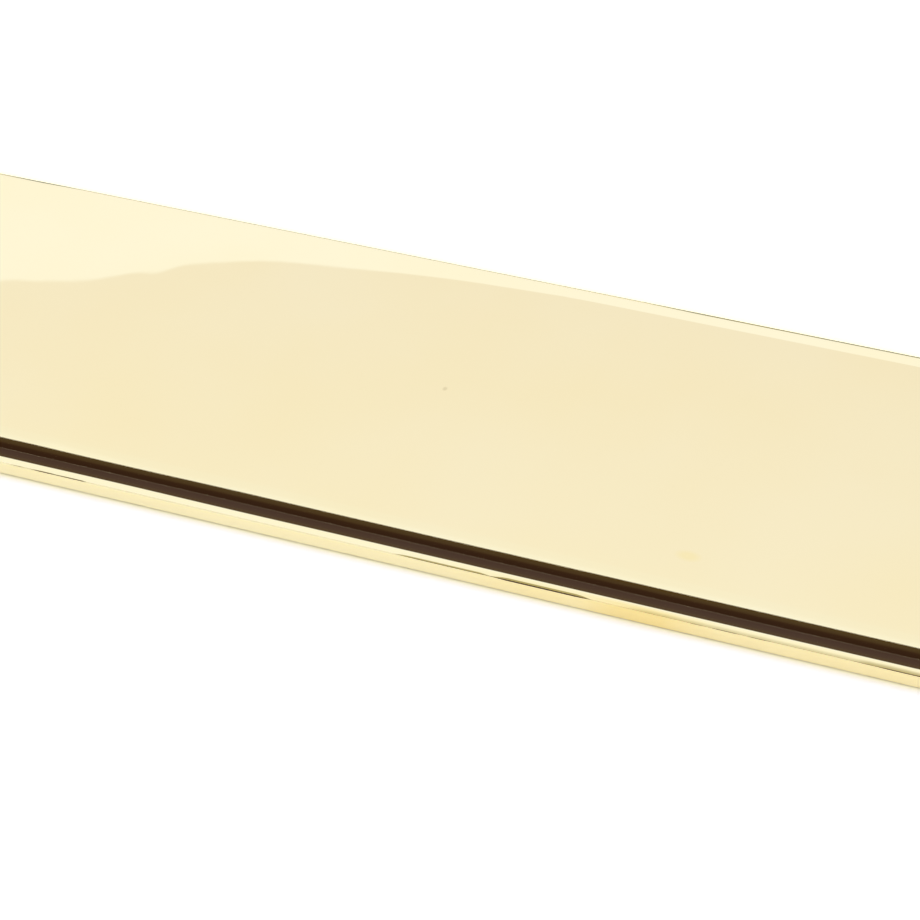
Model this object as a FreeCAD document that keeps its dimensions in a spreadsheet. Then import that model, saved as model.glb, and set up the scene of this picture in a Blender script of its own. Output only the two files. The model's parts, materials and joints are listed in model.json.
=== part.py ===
import FreeCAD, Part
import math
import os

import Sketcher

# A door finger plate: one solid piece of brass with a raised panel inside a stepped border.
# It lies on its back. The origin is the centre of the back, +X runs along the plate (up the
# door once it is fixed), +Y runs across it and +Z points out of its face. Millimetres.

SIZES = {
    "plate_length": 300.0,
    "plate_width": 65.0,
    "base_thickness": 2.1,
    "step_height": 2.0,
    "border_width": 2.9,
    "base_corner_radius": 1.0,
    "panel_corner_radius": 0.7,
    "outer_edge_radius": 0.15,
    "back_edge_radius": 0.15,
    "step_foot_radius": 0.1,
    "panel_edge_radius": 0.1,
    "screw_inset": 9.1,
    "screw_clearance": 4.0,
    "countersink_width": 7.6,
    "countersink_angle": 90.0,
}

NODE = "finger_plate"
TOLERANCE = 1e-4

PANEL_LENGTH = "(Sizes.plate_length - 2 * Sizes.border_width)"
PANEL_WIDTH = "(Sizes.plate_width - 2 * Sizes.border_width)"
FACE_HEIGHT = "(Sizes.base_thickness + Sizes.step_height)"
SCREW_SPACING_X = f"({PANEL_LENGTH} - 2 * Sizes.screw_inset)"
SCREW_SPACING_Y = f"({PANEL_WIDTH} - 2 * Sizes.screw_inset)"


def make_sheet(doc):
    """Puts the driving sizes in a spreadsheet, one named cell each."""
    sheet = doc.addObject("Spreadsheet::Sheet", "Sizes")
    for row, (alias, value) in enumerate(SIZES.items(), start=1):
        sheet.set(f"A{row}", alias)
        sheet.set(f"B{row}", str(value))
        sheet.setAlias(f"B{row}", alias)
    doc.recompute()


def make_sketch(body, name, height):
    """A sketch on the body's XY plane, lifted to a height."""
    sketch = body.newObject("Sketcher::SketchObject", name)
    planes = body.Origin.OriginFeatures
    ground = next(plane for plane in planes if plane.Role == "XY_Plane")
    sketch.AttachmentSupport = (ground, [""])
    sketch.MapMode = "FlatFace"
    sketch.setExpression("AttachmentOffset.Base.z", height)
    return sketch


def bind(sketch, constraint, name, size):
    """Adds a named constraint whose value follows the sheet."""
    index = sketch.addConstraint(constraint)
    sketch.renameConstraint(index, name)
    sketch.setExpression(f"Constraints.{name}", size)


def add_rectangle(sketch, length, width):
    """A rectangle centred on the sketch's origin."""
    signs = [(-1, -1), (1, -1), (1, 1), (-1, 1)]
    corners = [FreeCAD.Vector(20 * x, 10 * y, 0) for x, y in signs]
    for start, end in zip(corners, corners[1:] + corners[:1]):
        sketch.addGeometry(Part.LineSegment(start, end))
    for line in range(4):
        direction = "Horizontal" if line % 2 == 0 else "Vertical"
        sketch.addConstraint(Sketcher.Constraint("Coincident", line, 2, (line + 1) % 4, 1))
        sketch.addConstraint(Sketcher.Constraint(direction, line))
    sketch.addConstraint(Sketcher.Constraint("Symmetric", 0, 1, 2, 1, -1, 1))
    bind(sketch, Sketcher.Constraint("DistanceX", 0, 1, 0, 2, 40), "length", length)
    bind(sketch, Sketcher.Constraint("DistanceY", 1, 1, 1, 2, 20), "width", width)


def add_pad(body, sketch, name, height):
    """Raises a sketch into a solid."""
    pad = body.newObject("PartDesign::Pad", name)
    pad.Profile = sketch
    pad.setExpression("Length", height)
    sketch.Visibility = False
    body.Document.recompute()
    return pad


def add_fillet(body, base, name, edges, radius):
    """Rounds the named edges of the last feature."""
    fillet = body.newObject("PartDesign::Fillet", name)
    fillet.Base = (base, edges)
    fillet.setExpression("Radius", radius)
    body.Document.recompute()
    return fillet


def upright_edges(shape, low, high):
    """Names the edges that stand straight from one height to another."""
    names = []
    for number, edge in enumerate(shape.Edges, start=1):
        box = edge.BoundBox
        spans = abs(box.ZMin - low) < TOLERANCE and abs(box.ZMax - high) < TOLERANCE
        if spans and max(box.XLength, box.YLength) < TOLERANCE:
            names.append(f"Edge{number}")
    return names


def level_edges(shape, height, half_length, half_width):
    """Names the edges at one height that lie within an outline of the given half sizes."""
    names = []
    for number, edge in enumerate(shape.Edges, start=1):
        box = edge.BoundBox
        level = abs(box.ZMin - height) < TOLERANCE and box.ZLength < TOLERANCE
        inside_x = max(-box.XMin, box.XMax) < half_length + TOLERANCE
        inside_y = max(-box.YMin, box.YMax) < half_width + TOLERANCE
        if level and inside_x and inside_y:
            names.append(f"Edge{number}")
    return names


def make_base(body, sizes):
    """The flat plate that lies on the door, with eased corners and edges."""
    sketch = make_sketch(body, "BaseOutline", "0")
    add_rectangle(sketch, "Sizes.plate_length", "Sizes.plate_width")
    pad = add_pad(body, sketch, "Base", "Sizes.base_thickness")
    corners = upright_edges(pad.Shape, 0, sizes.base_thickness)
    eased = add_fillet(body, pad, "BaseCorners", corners, "Sizes.base_corner_radius")
    outline = (sizes.plate_length / 2, sizes.plate_width / 2)
    back = level_edges(eased.Shape, 0, *outline)
    backed = add_fillet(body, eased, "BackEdge", back, "Sizes.back_edge_radius")
    front = level_edges(backed.Shape, sizes.base_thickness, *outline)
    return add_fillet(body, backed, "OuterEdge", front, "Sizes.outer_edge_radius")


def make_panel(body, sizes):
    """The raised panel: a step up from the border, hollow-rounded at its foot and round at its top."""
    face = sizes.base_thickness + sizes.step_height
    sketch = make_sketch(body, "PanelOutline", "Sizes.base_thickness")
    add_rectangle(sketch, PANEL_LENGTH, PANEL_WIDTH)
    pad = add_pad(body, sketch, "Panel", "Sizes.step_height")
    corners = upright_edges(pad.Shape, sizes.base_thickness, face)
    eased = add_fillet(body, pad, "PanelCorners", corners, "Sizes.panel_corner_radius")
    outline = (sizes.plate_length / 2 - sizes.border_width, sizes.plate_width / 2 - sizes.border_width)
    foot = level_edges(eased.Shape, sizes.base_thickness, *outline)
    footed = add_fillet(body, eased, "StepFoot", foot, "Sizes.step_foot_radius")
    top = level_edges(footed.Shape, face, *outline)
    return add_fillet(body, footed, "PanelEdge", top, "Sizes.panel_edge_radius")


def add_screw_centres(sketch):
    """Four circles, one near each corner of the panel."""
    for number, (side_x, side_y) in enumerate([(-1, -1), (1, -1), (1, 1), (-1, 1)]):
        centre = FreeCAD.Vector(30 * side_x, 15 * side_y, 0)
        sketch.addGeometry(Part.Circle(centre, FreeCAD.Vector(0, 0, 1), 2))
        along = (number, 3, -1, 1) if side_x < 0 else (-1, 1, number, 3)
        across = (number, 3, -1, 1) if side_y < 0 else (-1, 1, number, 3)
        name = f"screw_{number + 1}"
        bind(sketch, Sketcher.Constraint("DistanceX", *along, 30), f"{name}_x", f"{SCREW_SPACING_X} / 2")
        bind(sketch, Sketcher.Constraint("DistanceY", *across, 15), f"{name}_y", f"{SCREW_SPACING_Y} / 2")
        bind(sketch, Sketcher.Constraint("Diameter", number, 4), f"{name}_d", "Sizes.screw_clearance")


def make_screw_holes(body, sizes):
    """Countersunk screw holes, drilled from the face right through to the back."""
    solid_volume = body.Shape.Volume
    sketch = make_sketch(body, "ScrewCentres", FACE_HEIGHT)
    add_screw_centres(sketch)
    body.Document.recompute()
    holes = body.newObject("PartDesign::Hole", "ScrewHoles")
    holes.Profile = sketch
    holes.DepthType = "ThroughAll"
    holes.HoleCutType = "Countersink"
    holes.HoleCutCustomValues = True
    holes.setExpression("Diameter", "Sizes.screw_clearance")
    holes.setExpression("HoleCutDiameter", "Sizes.countersink_width")
    holes.setExpression("HoleCutCountersinkAngle", "Sizes.countersink_angle")
    sketch.Visibility = False
    body.Document.recompute()
    thickness = sizes.base_thickness + sizes.step_height
    bore = math.pi * (sizes.screw_clearance / 2) ** 2 * thickness
    if solid_volume - body.Shape.Volume < bore * sketch.GeometryCount:
        raise RuntimeError("the screw holes do not go right through")


def check(doc, body):
    """Stops before anything is written if a feature failed or the solid is not sound."""
    failed = [item.Name for item in doc.Objects if {"Invalid", "Error"} & set(item.State)]
    if failed:
        raise RuntimeError(f"failed: {failed}")
    shape = body.Shape
    if shape.isNull() or not shape.isValid() or len(shape.Solids) != 1:
        raise RuntimeError("the plate is not one valid solid")


def main():
    doc = FreeCAD.newDocument("FingerPlate")
    make_sheet(doc)
    body = doc.addObject("PartDesign::Body", "FingerPlate")
    body.Label = NODE
    make_base(body, doc.Sizes)
    make_panel(body, doc.Sizes)
    make_screw_holes(body, doc.Sizes)
    check(doc, body)
    os.makedirs("parts", exist_ok=True)
    body.Shape.exportStep(f"parts/{body.Label}.step")
    box = body.Shape.optimalBoundingBox(False)
    print(f"{body.Label}: {box.XLength:.3f} x {box.YLength:.3f} x {box.ZLength:.3f} mm")
    print(f"volume {body.Shape.Volume:.1f} cubic mm")


main()
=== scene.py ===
import json
import math

import bpy
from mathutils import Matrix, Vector


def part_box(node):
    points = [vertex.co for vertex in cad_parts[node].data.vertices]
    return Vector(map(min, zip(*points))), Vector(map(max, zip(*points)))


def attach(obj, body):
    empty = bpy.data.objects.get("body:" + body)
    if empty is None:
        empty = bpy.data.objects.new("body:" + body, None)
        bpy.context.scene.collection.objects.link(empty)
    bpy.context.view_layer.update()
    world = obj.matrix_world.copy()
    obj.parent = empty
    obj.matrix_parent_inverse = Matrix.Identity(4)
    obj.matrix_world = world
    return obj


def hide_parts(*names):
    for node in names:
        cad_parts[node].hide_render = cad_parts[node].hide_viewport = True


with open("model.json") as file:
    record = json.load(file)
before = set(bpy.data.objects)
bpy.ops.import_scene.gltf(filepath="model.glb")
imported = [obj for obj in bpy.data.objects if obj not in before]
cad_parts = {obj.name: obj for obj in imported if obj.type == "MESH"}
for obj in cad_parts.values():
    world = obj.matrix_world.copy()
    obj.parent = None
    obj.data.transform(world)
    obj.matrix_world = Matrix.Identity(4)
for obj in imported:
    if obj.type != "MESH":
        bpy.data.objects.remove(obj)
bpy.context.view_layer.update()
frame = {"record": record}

# A polished brass finger plate, lying on its back on a white table. Metres, in the plate's own frame:
# +X along the plate, +Y across it towards the far side, +Z out of its face.

MM = 0.001
NODE = "finger_plate"

# The plate's sizes
LOW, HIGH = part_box(NODE)
HALF_LENGTH = (HIGH.x - LOW.x) / 2
HALF_WIDTH = (HIGH.y - LOW.y) / 2
FACE = HIGH.z
BASE = 2.179 * MM
BORDER = 2.805 * MM
BASE_CORNER = 1.0 * MM
PANEL_CORNER = 0.7 * MM
BACK_EDGE = 0.20 * MM
BACK_MARGIN = 0.02 * MM
STEP_FOOT = 0.06 * MM
PANEL_EDGE = 0.05 * MM
WALL_DRAFT = math.radians(3.0)
WALL_LEAN = math.radians(1.5)

# The screw holes
SCREWS = next(m for m in frame["record"]["mounts"] if m["name"] == "screw_holes")["dims"]
SCREW_X = SCREWS["spacing_x_mm"] / 2 * MM
SCREW_Y = SCREWS["spacing_y_mm"] / 2 * MM
BORE = SCREWS["hole_r_mm"] * MM
COUNTERSINK = 3.8 * MM
CONE = math.radians(45.0)
HOLE_EDGE = 0.12 * MM
THROAT_ABOVE = 0.03 * MM
THROAT_BELOW = 0.02 * MM
BACK_CHAMFER = 0.08 * MM

# How polishing has softened the plate. Its flats roll off towards their edges: tilt at the edge, reach of
# the roll.
FACE_ROLL = (math.radians(1.321), 2.257 * MM)
LEDGE_ROLL = (math.radians(2.6), 1.8 * MM)
# A faint bevel runs round the face: tilt, width, softness of its inner edge.
FACE_BEVEL = (math.radians(0.45), 2.114 * MM, 0.12 * MM)
# Shallow hollows tilt the face about a line along the plate.
HOLLOW_LINE = 23.5 * MM
HOLLOWS = [
    # tilt, middle along X, reach along X
    (math.radians(-0.0689), -82.0 * MM, 6.0 * MM),
    (math.radians(-0.0251), -60.7 * MM, 6.2 * MM),
    (math.radians(-0.0244), -54.2 * MM, 2.7 * MM),
    (math.radians(0.0471), -42.2 * MM, 9.1 * MM),
    (math.radians(-0.0415), -24.7 * MM, 10.0 * MM),
]
# The outer edge is crisp, and rounder in places along the near side.
CRISP_EDGE = 0.02 * MM
SOFT_EDGES = [
    # middle along X, half length, radius
    (-56.6 * MM, 1.0 * MM, 0.06 * MM),
    (-52.2 * MM, 1.9 * MM, 0.135 * MM),
    (-48.2 * MM, 2.2 * MM, 0.125 * MM),
    (7.0 * MM, 7.0 * MM, 0.065 * MM),
    (19.2 * MM, 6.9 * MM, 0.21 * MM),
    (40.2 * MM, 1.0 * MM, 0.06 * MM),
    (43.9 * MM, 1.7 * MM, 0.08 * MM),
    (48.5 * MM, 1.4 * MM, 0.07 * MM),
    (62.0 * MM, 1.4 * MM, 0.06 * MM),
    (69.0 * MM, 6.0 * MM, 0.13 * MM),
]
# The ledge leans outward in a narrow shoulder beside that edge: least width and tilt along each side, and
# where the wheel lingered and made it wider.
NEAR_SHOULDER = (0.09 * MM, 0.0)
NEAR_WIDER = [
    # middle along X, half length, width, tilt
    (-51.5 * MM, 7.0 * MM, 0.12 * MM, math.radians(4.2)),
    (5.5 * MM, 7.5 * MM, 0.31 * MM, math.radians(7.2)),
    (19.2 * MM, 7.1 * MM, 0.24 * MM, math.radians(12.0)),
    (50.0 * MM, 24.0 * MM, 1.00 * MM, math.radians(4.1)),
    (72.0 * MM, 14.0 * MM, 0.90 * MM, math.radians(5.1)),
]
FAR_SHOULDER = (0.16 * MM, math.radians(10.0))
FAR_WIDER = [
    # middle along X, half length, width, tilt
    (-108.0 * MM, 30.0 * MM, 0.48 * MM, math.radians(10.0)),
    (75.0 * MM, 60.0 * MM, 0.63 * MM, math.radians(10.0)),
]

# How finely the plate is meshed
WELD = 1e-4 * MM
CELL_X = 0.75 * MM
CELL_Y = 1.5 * MM
HOLE_CELLS = 12
HOLE_BLOCK = 4.25 * MM
HOLE_EDGE_STEPS = 3
HOLE_FACE_SHARES = (0.0, 0.35, 0.65, 0.85)
HOLE_BACK_SHARES = (0.6, 0.0)
CORNER_STEPS = 8
BACK_EDGE_STEPS = 5
EDGE_STEPS = 10
SHOULDER_STEPS = 4
LEDGE_STEPS = 8
FOOT_STEPS = 5
WALL_STEPS = 6
PANEL_EDGE_STEPS = 6
BEVEL_STEPS = 6
BEVEL_END_STEPS = 4
FACE_STEPS = 6
LEDGE_START = 1.3 * MM
LEAST_CORNER = 0.05 * MM

# The camera, as the photo was taken
CAMERA_ELEVATION = math.radians(40.0)
CAMERA_TURN = math.radians(18.99)
CAMERA_DISTANCE = 340.07 * MM
CAMERA_AIM = Vector((0, -9.023 * MM, 0))
LENS_PIXELS = 2434.4
PICTURE_PIXELS = 920
SENSOR_WIDTH = 36.0
CLIP_START = 10.0 * MM

# Polished brass: its colour, warmer and paler in turns, how rough the polish leaves it, and a faint ripple
BRASS = (0.968, 0.868, 0.545)
WARM_TINT = (1.0, 0.99, 0.955)
PALE_TINT = (1.0, 1.008, 1.03)
TONE_SCALE = 28.0
POLISH_ROUGHNESS = (0.008, 0.016)
POLISH_SCALE = 160.0
RIPPLE_SCALE = 260.0
RIPPLE_HEIGHT = 4e-4 * MM
# The span of noise that these changes use
NOISE_SPAN = (0.3, 0.7)
# The long edges are a deeper yellow towards +X: the colour, its depth in from the outline, the stretch
# along X where it sets in, the share it has from there on, and the stretch where it is full.
EDGE_BRASS = (0.945, 0.765, 0.345)
EDGE_DEPTH = 1.1 * MM
EDGE_ONSET = (-5.0 * MM, 20.0 * MM)
EDGE_SHARE = 0.4
EDGE_DEEPEST = (27.0 * MM, 40.0 * MM)
EDGE_SOFTNESS = 5.0 * MM
EDGE_MOTTLE = (0.8, 1.2)
MOTTLE_SCALE = 190.0
# A fleck and a smudge on the face: place along X and Y, half sizes, and the share of them that is full
FLECK = (-5.55 * MM, 0.56 * MM, 0.42 * MM, 0.58 * MM)
FLECK_BRASS = (0.813, 0.720, 0.436)
SMUDGE = (36.2 * MM, -22.4 * MM, 2.0 * MM, 1.2 * MM)
SMUDGE_BRASS = (0.968, 0.852, 0.471)
SPOT_CORE = 0.4
# The ground back: scale of its grain along each axis, tone of the dark lines, roughness and depth
GRAIN_SCALE = (60.0, 6000.0, 1.0)
GRAIN_TINT = (0.82, 0.82, 0.82)
GRAIN_ROUGHNESS = (0.3, 0.45)
GRAIN_STRENGTH = 0.6
GRAIN_DEPTH = 0.02 * MM

# The table
FLOOR_HALF = 8.0
FLOOR_DROP = 0.08 * MM
# Its colour as it lights the plate, as the plate mirrors it and as the camera sees it. The last two change
# beside the plate with painted light: as mirrored, a painted brightening that lifts the plate's shade on
# the table; as seen, a painted yellow glow for the light that the polished brass throws onto the table.
# Given are the colour there, and the range over which it fades out from the near side and from the far
# side.
FLOOR_LIT = (0.63, 0.63, 0.627)
FLOOR_MIRRORED = (1.475, 1.460, 1.355)
# Painted light: as mirrored, the table beside the plate is painted brighter, lifting the plate's shade
# there.
MIRRORED_PAINTED_LIGHT = (1.69, 1.72, 1.72)
MIRRORED_PAINTED_LIGHT_REACH = ((0.0 * MM, 1.8 * MM), (0.0 * MM, 1.8 * MM))
FLOOR_SEEN = (1.655, 1.625, 1.595)
# Painted light: as seen, a painted yellow glow on the table beside the plate, for the light the brass
# throws onto it.
SEEN_PAINTED_GLOW = (1.74, 1.67, 1.13)
SEEN_PAINTED_GLOW_REACH = ((0.0 * MM, 0.78 * MM), (2.6 * MM, 7.0 * MM))

# The studio round the plate: a white sweep, duller low down, up to a level line, and a cream ceiling
# above it. Angles are in degrees, either above the horizon or round the X axis, from the far horizon
# over the top to the near one.
STUDIO_STRENGTH = 1.04
SWEEP_TOP = 35.22
SWEEP_SOFTNESS = 0.04
SWEEP = [
    # angle above the horizon, colour
    (8.5, (0.965, 0.965, 0.965)),
    (12.5, (0.900, 0.880, 0.890)),
    (16.0, (0.905, 0.890, 0.920)),
    (27.0, (0.995, 1.020, 1.150)),
]
CEILING = [
    # angle round the X axis, colour
    (37.0, (0.907, 0.887, 0.938)),
    (43.8, (0.938, 0.925, 0.968)),
    (44.6, (0.938, 0.932, 0.982)),
    (46.0, (0.940, 0.945, 1.005)),
    (46.6, (0.965, 0.985, 1.080)),
    (47.3, (1.000, 1.030, 1.120)),
    (55.0, (1.000, 1.030, 1.120)),
    (90.0, (0.900, 0.900, 0.955)),
]
# A dark strip that the step and the edges mirror runs from over the plate down to the near horizon.
STRIP = [
    # angle round the X axis, colour
    (58.0, (0.450, 0.420, 0.270)),
    (80.0, (0.450, 0.420, 0.270)),
    (88.0, (0.110, 0.090, 0.095)),
    (124.1, (0.102, 0.083, 0.092)),
    (127.6, (0.076, 0.054, 0.085)),
    (130.1, (0.0645, 0.0455, 0.0815)),
    (138.4, (0.038, 0.0205, 0.024)),
    (144.1, (0.0365, 0.0195, 0.021)),
    (145.0, (0.0415, 0.0230, 0.0225)),
    (145.5, (0.0545, 0.0340, 0.030)),
    (146.1, (0.0665, 0.0455, 0.040)),
    (149.0, (0.078, 0.058, 0.050)),
]
STRIP_TURN = (57.0, 186.0)
STRIP_TURN_SOFTNESS = 4.5
STRIP_X = (-0.50, 0.0)
STRIP_X_SOFTNESS = 0.03
# Cards stand across from the camera and low down behind it.
CARDS = [
    # range along X, range of the angle round the X axis, colour
    ((-0.44, -0.06), (10.0, 31.0), (0.38, 0.40, 0.44)),
    ((-0.50, 0.28), (158.0, 186.0), (0.078, 0.058, 0.050)),
]
CARD_X_SOFTNESS = 0.015
CARD_TURN_SOFTNESS = 1.0


class PlateMesh:
    """Collects vertices with their normals, and faces. Vertices at one place are one vertex."""

    def __init__(self):
        self.points = []
        self.normals = []
        self.faces = []
        self.on_back = []
        self.places = {}

    def vertex(self, point, normal):
        key = tuple(round(c / WELD) for c in point)
        if key not in self.places:
            self.places[key] = len(self.points)
            self.points.append(tuple(point))
            self.normals.append(tuple(normal))
        return self.places[key]

    def face(self, corners, on_back=False):
        distinct = list(dict.fromkeys(corners))
        if len(distinct) > 2:
            self.faces.append(distinct)
            self.on_back.append(on_back)

    def strip(self, rings, flat_back):
        """Joins closed rings of vertices, each to the next. Flat back numbers the strips on the back."""
        for number, (ring, following) in enumerate(zip(rings, rings[1:])):
            for i in range(len(ring)):
                j = (i + 1) % len(ring)
                corners = (ring[i], ring[j], following[j], following[i])
                self.face(corners, number in flat_back)


def face_tilt(distance):
    """How far the face leans outward, at a distance in from its rounded edge."""
    tilt, reach = FACE_ROLL
    bevel, width, softness = FACE_BEVEL
    share = min(1.0, max(0.0, 0.5 + (width - distance) / softness))
    return tilt * math.exp(-distance / reach) + bevel * share


def face_drop(distance):
    """How far the face has dropped there."""
    tilt, reach = FACE_ROLL
    bevel, width, _ = FACE_BEVEL
    return reach * tilt * math.exp(-distance / reach) + bevel * max(0.0, width - distance)


def ledge_tilt(inset):
    """How far the border's ledge leans outward, at a distance in from the plate's outline."""
    tilt, reach = LEDGE_ROLL
    return tilt * math.exp(-inset / reach)


def ledge_height(inset):
    """The ledge's height there."""
    return BASE - LEDGE_ROLL[1] * ledge_tilt(inset)


def hollow(x, y):
    """The height that the hollows add to the face, and how it rises along X and along Y."""
    away = y - HOLLOW_LINE
    rise_x = 0.0
    rise_y = 0.0
    for tilt, middle, reach in HOLLOWS:
        here = tilt * math.exp(-((x - middle) / reach) ** 2)
        rise_x -= here * 2 * (x - middle) / reach ** 2 * away
        rise_y += here
    return rise_y * away, rise_x, rise_y


# Where the step and the face begin
FOOT_LEVEL = ledge_height(BORDER - STEP_FOOT)
TOP = FACE - face_drop(0.0)
WALL = TOP - PANEL_EDGE - FOOT_LEVEL - STEP_FOOT
WALL_TOP = BORDER + WALL * (WALL_DRAFT + WALL_LEAN / 3)
FACE_START = WALL_TOP + PANEL_EDGE


def grown(least, most, x, middle, half):
    """A size that is at its most along the middle of a stretch of the plate, and at its least beyond it."""
    share = min(1.0, 2.0 * max(0.0, 1 - ((x - middle) / half) ** 2))
    return least + (most - least) * share


def edge_radius(x, y):
    """The outer edge's radius."""
    if y > 0:
        return CRISP_EDGE
    return max(grown(CRISP_EDGE, radius, x, middle, half) for middle, half, radius in SOFT_EDGES)


def shoulder(x, y):
    """The width and the tilt of the shoulder beside the outer edge."""
    least, wider = (NEAR_SHOULDER, NEAR_WIDER) if y < 0 else (FAR_SHOULDER, FAR_WIDER)
    width = max(grown(least[0], width, x, middle, half) for middle, half, width, _ in wider)
    tilt = max(grown(least[1], tilt, x, middle, half) for middle, half, _, tilt in wider)
    return width, tilt


def spread(low, high, count):
    """Evenly spaced values, both ends included."""
    return [low + (high - low) * i / count for i in range(count + 1)]


def grid_lines(screw, cell):
    """Grid lines across the flat field, with blocks around the screw holes, and where they end."""
    inner = screw - HOLE_BLOCK
    outer = screw + HOLE_BLOCK
    middle = spread(-inner, inner, round(2 * inner / cell))
    left = spread(-outer, -inner, HOLE_CELLS)
    right = spread(inner, outer, HOLE_CELLS)
    return left[:-1] + middle + right[1:], outer


GRID_X, FIELD_X = grid_lines(SCREW_X, CELL_X)
GRID_Y, FIELD_Y = grid_lines(SCREW_Y, CELL_Y)
FIELD_INSET = HALF_WIDTH - FIELD_Y


def outline(inset, corner):
    """A rounded rectangle inside the plate's outline, anticlockwise: (x, y, outward x, outward y)."""
    points = []
    half_x = HALF_LENGTH - inset - corner
    half_y = HALF_WIDTH - inset - corner
    for quarter in range(4):
        turn = quarter * math.pi / 2
        along = (round(math.cos(turn)), round(math.sin(turn)))
        out = (along[1], -along[0])
        shares = [x / FIELD_X for x in GRID_X] if quarter % 2 == 0 else [y / FIELD_Y for y in GRID_Y]
        reach, depth = (half_x, half_y) if quarter % 2 == 0 else (half_y, half_x)
        for share in shares:
            x = along[0] * share * reach + out[0] * (depth + corner)
            y = along[1] * share * reach + out[1] * (depth + corner)
            points.append((x, y, out[0], out[1]))
        centre = (along[0] * reach + out[0] * depth, along[1] * reach + out[1] * depth)
        for step in range(1, CORNER_STEPS):
            angle = turn - math.pi / 2 + step / CORNER_STEPS * math.pi / 2
            ox, oy = math.cos(angle), math.sin(angle)
            points.append((centre[0] + ox * corner, centre[1] + oy * corner, ox, oy))
    return points


def add_ring(mesh, inset, corner, height, lean, hollowed=0.0):
    """One ring of the profile. Lean is the normal's tilt from straight up towards outward, in radians.

    Hollowed is the share of the face's hollows that the ring follows.
    """
    ring = []
    for x, y, ox, oy in outline(inset, corner):
        lift, rise_x, rise_y = (hollowed * value for value in hollow(x, y))
        up = math.cos(lean)
        normal = Vector((math.sin(lean) * ox - up * rise_x, math.sin(lean) * oy - up * rise_y, up))
        ring.append(mesh.vertex((x, y, height + lift), normal.normalized()))
    return ring


def edge_profile(x, y, share):
    """The outer edge, from its side to its top: inset, height and lean."""
    radius = edge_radius(x, y)
    width, tilt = shoulder(x, y)
    end = ledge_tilt(radius) + tilt
    lean = math.pi / 2 + (end - math.pi / 2) * share
    inset = radius * (1 - math.sin(lean))
    top = ledge_height(radius) - tilt * width * 2 / 3
    return inset, top - radius * (math.cos(end) - math.cos(lean)), lean


def shoulder_profile(x, y, share):
    """The shoulder, from the rounded edge to the ledge: inset, height and lean."""
    width, tilt = shoulder(x, y)
    inset = edge_radius(x, y) + width * share
    lean = ledge_tilt(inset) + tilt * (1 - share ** 2)
    height = ledge_height(inset) - tilt * width * (2 / 3 - share + share ** 3 / 3)
    return inset, height, lean


def add_edge_ring(mesh, profile, share):
    """One ring of the outer edge or its shoulder, whose profile changes along the plate."""
    ring = []
    for x, y, ox, oy in outline(0.0, BASE_CORNER):
        inset, height, lean = profile(x, y, share)
        normal = (math.sin(lean) * ox, math.sin(lean) * oy, math.cos(lean))
        ring.append(mesh.vertex((x - ox * inset, y - oy * inset, height), normal))
    return ring


def back_rings(mesh):
    """The flat back, from the field around the screw holes to the rounded back edge."""
    flat = BACK_EDGE + BACK_MARGIN
    rings = [
        add_ring(mesh, FIELD_INSET, 0.0, 0.0, math.pi),
        add_ring(mesh, flat, BASE_CORNER - flat, 0.0, math.pi),
    ]
    for lean in spread(math.pi, math.pi / 2, BACK_EDGE_STEPS):
        inset = BACK_EDGE * (1 - math.sin(lean))
        height = BACK_EDGE * (1 + math.cos(lean))
        rings.append(add_ring(mesh, inset, BASE_CORNER - inset, height, lean))
    return rings


def border_rings(mesh):
    """The outer edge and the border's flat ledge, up to the hollow at the foot of the step."""
    rings = [add_edge_ring(mesh, edge_profile, share) for share in spread(0.0, 1.0, EDGE_STEPS)]
    for share in spread(0.0, 1.0, SHOULDER_STEPS)[1:]:
        rings.append(add_edge_ring(mesh, shoulder_profile, share))
    flat_end = BORDER - STEP_FOOT
    for inset in spread(LEDGE_START, flat_end, LEDGE_STEPS):
        corner = max(BASE_CORNER - inset, PANEL_CORNER + BORDER - inset)
        rings.append(add_ring(mesh, inset, corner, ledge_height(inset), ledge_tilt(inset)))
    for turn in spread(0.0, math.pi / 2 - WALL_DRAFT, FOOT_STEPS)[1:]:
        inset = flat_end + STEP_FOOT * math.sin(turn)
        height = FOOT_LEVEL + STEP_FOOT * (1 - math.cos(turn))
        rings.append(add_ring(mesh, inset, PANEL_CORNER + BORDER - inset, height, turn))
    return rings


def wall_rings(mesh):
    """The step's wall and the panel's rounded edge."""
    rings = []
    for share in spread(0.0, 1.0, WALL_STEPS)[1:]:
        inset = BORDER + WALL * (WALL_DRAFT * share + WALL_LEAN * share ** 3 / 3)
        lean = math.pi / 2 - WALL_DRAFT - WALL_LEAN * share ** 2
        height = FOOT_LEVEL + STEP_FOOT + WALL * share
        rings.append(add_ring(mesh, inset, PANEL_CORNER, height, lean, share))
    for lean in spread(math.pi / 2 - WALL_DRAFT - WALL_LEAN, face_tilt(0.0), PANEL_EDGE_STEPS)[1:]:
        inset = WALL_TOP + PANEL_EDGE * (1 - math.sin(lean))
        height = TOP - PANEL_EDGE * (1 - math.cos(lean))
        rings.append(add_ring(mesh, inset, PANEL_CORNER + BORDER - inset, height, lean, 1.0))
    return rings


def face_rings(mesh):
    """The panel's face, from its rounded edge in to the field around the screw holes."""
    _, bevel_end, softness = FACE_BEVEL
    distances = spread(0.0, bevel_end - softness, BEVEL_STEPS)[1:]
    distances += spread(bevel_end - softness / 2, bevel_end + softness / 2, BEVEL_END_STEPS)
    distances += spread(bevel_end + softness, FIELD_INSET - FACE_START, FACE_STEPS)[:-1]
    rings = []
    for distance in distances:
        corner = max(LEAST_CORNER, PANEL_CORNER - PANEL_EDGE - distance)
        height = FACE - face_drop(distance)
        rings.append(add_ring(mesh, FACE_START + distance, corner, height, face_tilt(distance), 1.0))
    rings.append([face_vertex(mesh, x, y) for x, y, _, _ in outline(FIELD_INSET, 0.0)])
    return rings


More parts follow.
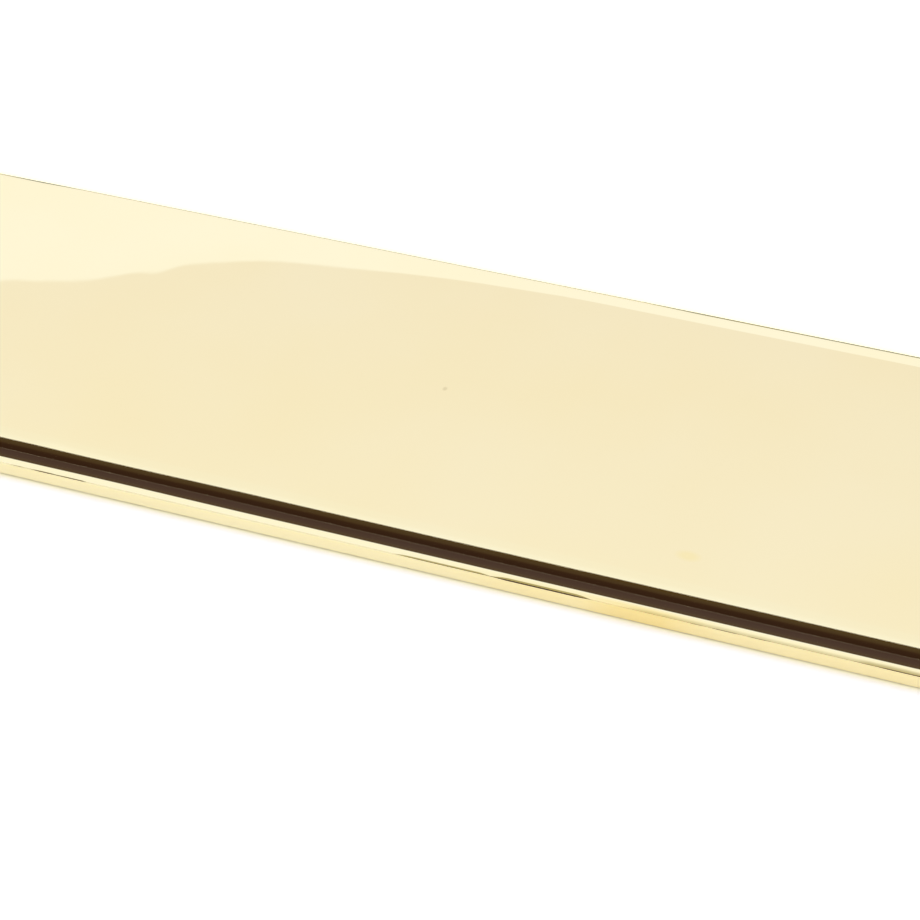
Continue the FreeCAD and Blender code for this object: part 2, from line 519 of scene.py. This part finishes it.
def near_screw(x, y):
    """Whether a place is inside the block of cells around a screw hole."""
    return abs(abs(x) - SCREW_X) < HOLE_BLOCK and abs(abs(y) - SCREW_Y) < HOLE_BLOCK


def face_place(x, y):
    """A place on the panel's face, and the face's normal there."""
    lift, rise_x, rise_y = hollow(x, y)
    in_x = HALF_LENGTH - FACE_START - abs(x)
    in_y = HALF_WIDTH - FACE_START - abs(y)
    lean_x = math.copysign(face_tilt(in_x), x)
    lean_y = math.copysign(face_tilt(in_y), y)
    height = FACE + lift - face_drop(in_x) - face_drop(in_y)
    return (x, y, height), Vector((lean_x - rise_x, lean_y - rise_y, 1)).normalized()


def face_vertex(mesh, x, y):
    """A vertex of the panel's face."""
    return mesh.vertex(*face_place(x, y))


def back_vertex(mesh, x, y):
    """A vertex of the flat back."""
    return mesh.vertex((x, y, 0.0), (0, 0, -1))


def add_fields(mesh):
    """The cells of the face and of the back, leaving out the blocks around the screw holes."""
    for x0, x1 in zip(GRID_X, GRID_X[1:]):
        for y0, y1 in zip(GRID_Y, GRID_Y[1:]):
            if near_screw((x0 + x1) / 2, (y0 + y1) / 2):
                continue
            corners = [(x0, y0), (x1, y0), (x1, y1), (x0, y1)]
            mesh.face([face_vertex(mesh, *corner) for corner in corners])
            mesh.face([back_vertex(mesh, *corner) for corner in reversed(corners)], True)


def block_edge(centre_x, centre_y):
    """The places round the edge of a screw hole's block, anticlockwise."""
    steps = spread(-HOLE_BLOCK, HOLE_BLOCK, HOLE_CELLS)[:-1]
    edge = [(s, -HOLE_BLOCK) for s in steps]
    edge += [(HOLE_BLOCK, s) for s in steps]
    edge += [(-s, HOLE_BLOCK) for s in steps]
    edge += [(-HOLE_BLOCK, -s) for s in steps]
    return [(centre_x + x, centre_y + y) for x, y in edge]


def between(point, centre, radius, share):
    """A place between a point of the block's edge and the circle inside it."""
    away = Vector((point[0] - centre[0], point[1] - centre[1]))
    on_circle = away.normalized() * radius
    place = away.lerp(on_circle, share)
    return centre[0] + place.x, centre[1] + place.y


def hole_profile():
    """The countersunk hole from face to back: (radius, height, lean of the normal towards the axis)."""
    throat = FACE - (COUNTERSINK - BORE) / math.tan(CONE)
    profile = []
    for lean in spread(0.0, CONE, HOLE_EDGE_STEPS):
        radius = COUNTERSINK + HOLE_EDGE * (math.tan(CONE / 2) - math.sin(lean))
        profile.append((radius, FACE - HOLE_EDGE * (1 - math.cos(lean)), lean))
    profile.append((BORE + THROAT_ABOVE, throat + THROAT_ABOVE, CONE))
    profile.append((BORE, throat - THROAT_BELOW, math.pi / 2))
    profile.append((BORE, BACK_CHAMFER, math.pi / 2))
    profile.append((BORE + BACK_CHAMFER, 0.0, math.pi))
    return profile


def add_hole(mesh, centre_x, centre_y):
    """One countersunk hole with the flat round it, on the face and on the back."""
    centre = (centre_x, centre_y)
    edge = block_edge(*centre)
    profile = hole_profile()
    rim = profile[0][0]
    mouth = profile[-1][0]
    stretch = face_place(*centre)[0][2] / FACE
    rings = []
    for share in HOLE_FACE_SHARES:
        rings.append([face_vertex(mesh, *between(point, centre, rim, share)) for point in edge])
    for radius, height, lean in profile:
        ring = []
        for point in edge:
            x, y = between(point, centre, radius, 1.0)
            inward = Vector((centre_x - x, centre_y - y, 0)).normalized()
            normal = inward * math.sin(lean) + Vector((0, 0, math.cos(lean)))
            ring.append(mesh.vertex((x, y, height * stretch), normal))
        rings.append(ring)
    first_back = len(rings) - 1
    for share in HOLE_BACK_SHARES:
        rings.append([back_vertex(mesh, *between(point, centre, mouth, share)) for point in edge])
    mesh.strip(rings, flat_back=range(first_back, len(rings)))


def make_plate(polished, sanded):
    """The plate as a fine mesh with exact normals, so that its reflections run true."""
    mesh = PlateMesh()
    rings = back_rings(mesh) + border_rings(mesh) + wall_rings(mesh) + face_rings(mesh)
    mesh.strip(rings, flat_back={0})
    add_fields(mesh)
    for side_x in (-1, 1):
        for side_y in (-1, 1):
            add_hole(mesh, side_x * SCREW_X, side_y * SCREW_Y)
    data = bpy.data.meshes.new("plate_dressed")
    data.from_pydata(mesh.points, [], mesh.faces)
    data.polygons.foreach_set("use_smooth", [True] * len(mesh.faces))
    data.materials.append(polished)
    data.materials.append(sanded)
    data.polygons.foreach_set("material_index", [int(back) for back in mesh.on_back])
    data.normals_split_custom_set_from_vertices(mesh.normals)
    plate = bpy.data.objects.new("plate_dressed", data)
    bpy.context.scene.collection.objects.link(plate)
    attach(plate, "root")
    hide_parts(NODE)


def new_material(name):
    """An empty node material with its output."""
    material = bpy.data.materials.new(name)
    material.use_nodes = True
    tree = material.node_tree
    tree.nodes.clear()
    output = tree.nodes.new("ShaderNodeOutputMaterial")
    return material, tree, output


def add_node(tree, kind, inputs=None, **settings):
    """A node with its settings and input values; an input given as a socket is linked."""
    node = tree.nodes.new(kind)
    for name, value in settings.items():
        setattr(node, name, value)
    for name, value in (inputs or {}).items():
        if isinstance(value, bpy.types.NodeSocket):
            tree.links.new(value, node.inputs[name])
        else:
            node.inputs[name].default_value = value
    return node


def maths(tree, operation, *values):
    """The result of an operation on one or two values."""
    return add_node(tree, "ShaderNodeMath", dict(enumerate(values)), operation=operation).outputs["Value"]


def product(tree, first, second):
    """Two values multiplied."""
    return maths(tree, "MULTIPLY", first, second)


def noise(tree, place, scale, detail=3.0):
    """Smooth noise in the plate's own coordinates."""
    inputs = {"Vector": place, "Scale": scale, "Detail": detail}
    return add_node(tree, "ShaderNodeTexNoise", inputs).outputs["Fac"]


def ranged(tree, value, low, high, from_low=0.0, from_high=1.0):
    """Maps a value from one range to another."""
    inputs = {"Value": value, "From Min": from_low, "From Max": from_high, "To Min": low, "To Max": high}
    return add_node(tree, "ShaderNodeMapRange", inputs).outputs["Result"]


def window(tree, value, low, high, softness):
    """One between two values and nought beyond them, with soft edges."""
    edges = []
    for middle, turn in ((low, 1), (high, -1)):
        edges.append(add_node(tree, "ShaderNodeMapRange", {
            "Value": value,
            "From Min": middle - turn * softness,
            "From Max": middle + turn * softness,
        }, interpolation_type="SMOOTHSTEP").outputs["Result"])
    return product(tree, *edges)


def turn_window(tree, angle, turns, softness):
    """A window on an angle, with its two ends and their softness in degrees."""
    return window(tree, angle, *map(math.radians, (*turns, softness)))


def mixed(tree, factor, first, second):
    """A colour between two others."""
    node = add_node(tree, "ShaderNodeMix", data_type="RGBA")
    tree.links.new(factor, node.inputs["Factor"])
    for name, colour in (("A", first), ("B", second)):
        socket = next(s for s in node.inputs if s.name == name and s.type == "RGBA")
        if isinstance(colour, bpy.types.NodeSocket):
            tree.links.new(colour, socket)
        else:
            socket.default_value = (*colour, 1)
    return next(s for s in node.outputs if s.type == "RGBA")


def ramped(tree, angle, stops):
    """A colour that runs through the stops, each at an angle in degrees."""
    first, last = stops[0][0], stops[-1][0]
    share = ranged(tree, angle, 0.0, 1.0, math.radians(first), math.radians(last))
    ramp = add_node(tree, "ShaderNodeValToRGB", {"Fac": share})
    elements = ramp.color_ramp.elements
    while len(elements) < len(stops):
        elements.new(1.0)
    for element, (turn, colour) in zip(elements, stops):
        element.position = (turn - first) / (last - first)
        element.color = (*colour, 1)
    return ramp.outputs["Color"]


def tinted(colour, tint):
    """A colour multiplied by a tint."""
    return tuple(c * k for c, k in zip(colour, tint))


def spot(tree, place, x, y, half_x, half_y):
    """One at the middle of an oval on the face, falling to nought at its rim."""
    oval = {"Vector": place, "Location": (x, y, FACE), "Scale": (half_x, half_y, 1.0)}
    inside = add_node(tree, "ShaderNodeMapping", oval, vector_type="TEXTURE").outputs["Vector"]
    out = add_node(tree, "ShaderNodeVectorMath", {0: inside}, operation="LENGTH").outputs["Value"]
    return ranged(tree, out, 1.0, 0.0, SPOT_CORE, 1.0)


def outer_edge(tree, place):
    """One at the plate's long edges and nought inside them, stronger towards +X and mottled."""
    axes = add_node(tree, "ShaderNodeSeparateXYZ", {0: place}).outputs
    across = maths(tree, "ABSOLUTE", axes["Y"])
    depth = ranged(tree, across, 0.0, 1.0, HALF_WIDTH - EDGE_DEPTH, HALF_WIDTH - EDGE_DEPTH / 2)
    onset = ranged(tree, axes["X"], 0.0, EDGE_SHARE, *EDGE_ONSET)
    deepest = window(tree, axes["X"], *EDGE_DEEPEST, EDGE_SOFTNESS)
    strength = ranged(tree, deepest, onset, 1.0)
    mottle = ranged(tree, noise(tree, place, MOTTLE_SCALE), *EDGE_MOTTLE, *NOISE_SPAN)
    return product(tree, product(tree, depth, strength), mottle)


def polished_brass():
    """Buffed brass: nearly a mirror, with faint changes of tone and polish."""
    material, tree, output = new_material("polished_brass")
    place = add_node(tree, "ShaderNodeTexCoord").outputs["Object"]
    tone = ranged(tree, noise(tree, place, TONE_SCALE), 0.0, 1.0, *NOISE_SPAN)
    colour = mixed(tree, tone, tinted(BRASS, WARM_TINT), tinted(BRASS, PALE_TINT))
    colour = mixed(tree, outer_edge(tree, place), colour, EDGE_BRASS)
    colour = mixed(tree, spot(tree, place, *SMUDGE), colour, SMUDGE_BRASS)
    colour = mixed(tree, spot(tree, place, *FLECK), colour, FLECK_BRASS)
    polish = ranged(tree, noise(tree, place, POLISH_SCALE), *POLISH_ROUGHNESS, *NOISE_SPAN)
    ripple = noise(tree, place, RIPPLE_SCALE, detail=1.0)
    bump = add_node(tree, "ShaderNodeBump", {"Height": ripple, "Strength": 1.0, "Distance": RIPPLE_HEIGHT})
    shader = add_node(tree, "ShaderNodeBsdfPrincipled", {
        "Base Color": colour,
        "Metallic": 1.0,
        "Roughness": polish,
        "Normal": bump.outputs["Normal"],
    })
    tree.links.new(shader.outputs["BSDF"], output.inputs["Surface"])
    return material


def sanded_brass():
    """The flat back: brass ground on a belt, with fine lines along the plate."""
    material, tree, output = new_material("sanded_brass")
    place = add_node(tree, "ShaderNodeTexCoord").outputs["Object"]
    drawn = add_node(tree, "ShaderNodeMapping", {"Vector": place, "Scale": GRAIN_SCALE})
    lines = noise(tree, drawn.outputs["Vector"], 1.0, detail=2.0)
    grain = {"Height": lines, "Strength": GRAIN_STRENGTH, "Distance": GRAIN_DEPTH}
    shader = add_node(tree, "ShaderNodeBsdfPrincipled", {
        "Base Color": mixed(tree, lines, tinted(BRASS, GRAIN_TINT), BRASS),
        "Metallic": 1.0,
        "Roughness": ranged(tree, lines, *GRAIN_ROUGHNESS),
        "Normal": add_node(tree, "ShaderNodeBump", grain).outputs["Normal"],
    })
    tree.links.new(shader.outputs["BSDF"], output.inputs["Surface"])
    return material


def painted_light_beside_plate(tree, place, reach):
    """One at the plate's long sides, falling to nought further out from them; it places the table's painted
    light.
    """
    axes = add_node(tree, "ShaderNodeSeparateXYZ", {0: place}).outputs
    (near_in, near_out), (far_in, far_out) = reach
    near = ranged(tree, axes["Y"], 1.0, 0.0, -HALF_WIDTH - near_in, -HALF_WIDTH - near_out)
    far = ranged(tree, axes["Y"], 1.0, 0.0, HALF_WIDTH + far_in, HALF_WIDTH + far_out)
    along = window(tree, axes["X"], -HALF_LENGTH, HALF_LENGTH, near_out)
    return product(tree, product(tree, near, far), along)


def table_white_with_painted_light():
    """The table's matt white, with painted light beside the plate. It is looked at directly or in the
    plate, and otherwise only gives light.
    """
    material, tree, output = new_material("table_white_with_painted_light")
    place = add_node(tree, "ShaderNodeTexCoord").outputs["Object"]
    rays = add_node(tree, "ShaderNodeLightPath").outputs
    # Painted light beside the plate: a brightening as the plate mirrors the table, a yellow glow as the
    # camera sees it.
    mirrored_with_painted_light = mixed(tree, painted_light_beside_plate(tree, place, MIRRORED_PAINTED_LIGHT_REACH), FLOOR_MIRRORED, MIRRORED_PAINTED_LIGHT)
    seen_with_painted_light = mixed(tree, painted_light_beside_plate(tree, place, SEEN_PAINTED_GLOW_REACH), FLOOR_SEEN, SEEN_PAINTED_GLOW)
    looked_at = rays["Is Camera Ray"]
    seen_with_painted_light = mixed(tree, looked_at, mirrored_with_painted_light, seen_with_painted_light)
    for name in ("Is Glossy Ray", "Is Transmission Ray"):
        looked_at = maths(tree, "MAXIMUM", looked_at, rays[name])
    not_scattered = maths(tree, "LESS_THAN", rays["Diffuse Depth"], 0.5)
    looked_at = product(tree, looked_at, not_scattered)
    colour = mixed(tree, looked_at, FLOOR_LIT, seen_with_painted_light)
    matt = add_node(tree, "ShaderNodeBsdfDiffuse", {"Color": colour})
    tree.links.new(matt.outputs["BSDF"], output.inputs["Surface"])
    return material


def make_floor(material):
    """A table top that keeps the plate's soft shadow."""
    half = FLOOR_HALF
    corners = [(-half, -half, 0), (half, -half, 0), (half, half, 0), (-half, half, 0)]
    data = bpy.data.meshes.new("floor")
    data.from_pydata(corners, [], [(0, 1, 2, 3)])
    data.materials.append(material)
    floor = bpy.data.objects.new("floor", data)
    floor.location.z = LOW.z - FLOOR_DROP
    bpy.context.scene.collection.objects.link(floor)


def make_studio():
    """The world: soft light from all round, by direction."""
    world = bpy.data.worlds.new("studio")
    world.use_nodes = True
    tree = world.node_tree
    tree.nodes.clear()
    toward = add_node(tree, "ShaderNodeTexCoord").outputs["Generated"]
    axes = add_node(tree, "ShaderNodeSeparateXYZ", {0: toward}).outputs
    angle = maths(tree, "ARCSINE", axes["Z"])
    around = maths(tree, "ARCTAN2", axes["Z"], axes["Y"])
    line = (SWEEP_TOP - SWEEP_SOFTNESS, SWEEP_TOP + SWEEP_SOFTNESS)
    above = ranged(tree, angle, 0.0, 1.0, *map(math.radians, line))
    light = mixed(tree, above, ramped(tree, angle, SWEEP), ramped(tree, around, CEILING))
    over = turn_window(tree, around, STRIP_TURN, STRIP_TURN_SOFTNESS)
    along = window(tree, axes["X"], *STRIP_X, STRIP_X_SOFTNESS)
    light = mixed(tree, product(tree, over, along), light, ramped(tree, around, STRIP))
    for reach, turns, colour in CARDS:
        wide = window(tree, axes["X"], *reach, CARD_X_SOFTNESS)
        tall = turn_window(tree, around, turns, CARD_TURN_SOFTNESS)
        light = mixed(tree, product(tree, wide, tall), light, colour)
    background = add_node(tree, "ShaderNodeBackground", {"Color": light, "Strength": STUDIO_STRENGTH})
    output = add_node(tree, "ShaderNodeOutputWorld")
    tree.links.new(background.outputs["Background"], output.inputs["Surface"])
    bpy.context.scene.world = world


def make_camera():
    """The camera of the photo: level, looking down on the plate from its near side."""
    data = bpy.data.cameras.new("camera")
    data.sensor_width = SENSOR_WIDTH
    data.lens = LENS_PIXELS / PICTURE_PIXELS * SENSOR_WIDTH
    data.clip_start = CLIP_START
    camera = bpy.data.objects.new("camera", data)
    back = Vector((
        math.sin(CAMERA_TURN) * math.cos(CAMERA_ELEVATION),
        -math.cos(CAMERA_TURN) * math.cos(CAMERA_ELEVATION),
        math.sin(CAMERA_ELEVATION),
    ))
    camera.location = CAMERA_AIM + back * CAMERA_DISTANCE
    camera.rotation_mode = "QUATERNION"
    camera.rotation_quaternion = (-back).to_track_quat("-Z", "Y")
    bpy.context.scene.collection.objects.link(camera)
    bpy.context.scene.camera = camera


make_plate(polished_brass(), sanded_brass())
make_floor(table_white_with_painted_light())
make_studio()
make_camera()
bpy.context.scene.view_settings.view_transform = "Standard"
